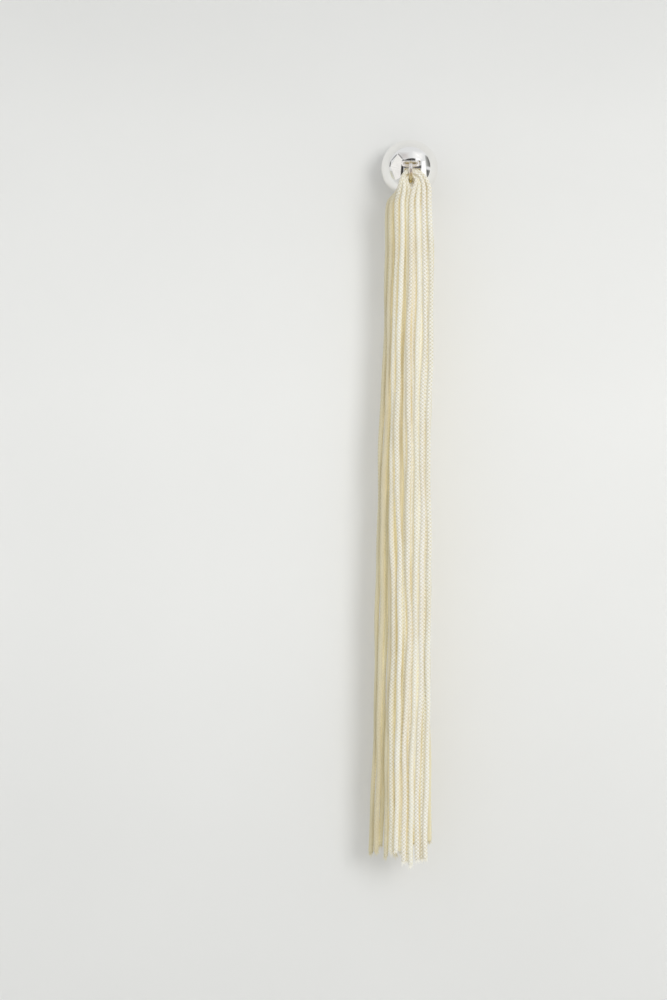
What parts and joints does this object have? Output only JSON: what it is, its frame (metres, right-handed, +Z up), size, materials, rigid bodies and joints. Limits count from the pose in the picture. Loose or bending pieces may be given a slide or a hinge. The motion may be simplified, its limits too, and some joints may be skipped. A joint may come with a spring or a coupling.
{
  "type": "tassel earring",
  "caption": "Long tassel ear stud: a polished silver ball on a straight post, with a small wide wire loop and a jump ring on its front from which folded cream braided cords hang.",
  "frame": {"origin": "back of the ball, on the post's axis, where the stud sits on the front of the ear lobe", "axes": "+Y along the post, away from the viewer and into the ear; -Y is the front; +Z up, the tassel hangs towards -Z"},
  "size_m": [0.0169, 0.0298, 0.1766],
  "materials": {
    "silver": "polished silver plate",
    "ring_silver": "polished silver plated wire",
    "cord": "satin braided cord"
  },
  "bodies": {
    "root": {"ball_stud": "silver", "jump_ring": "ring_silver", "tassel": "cord"}
  },
  "joints": []
}
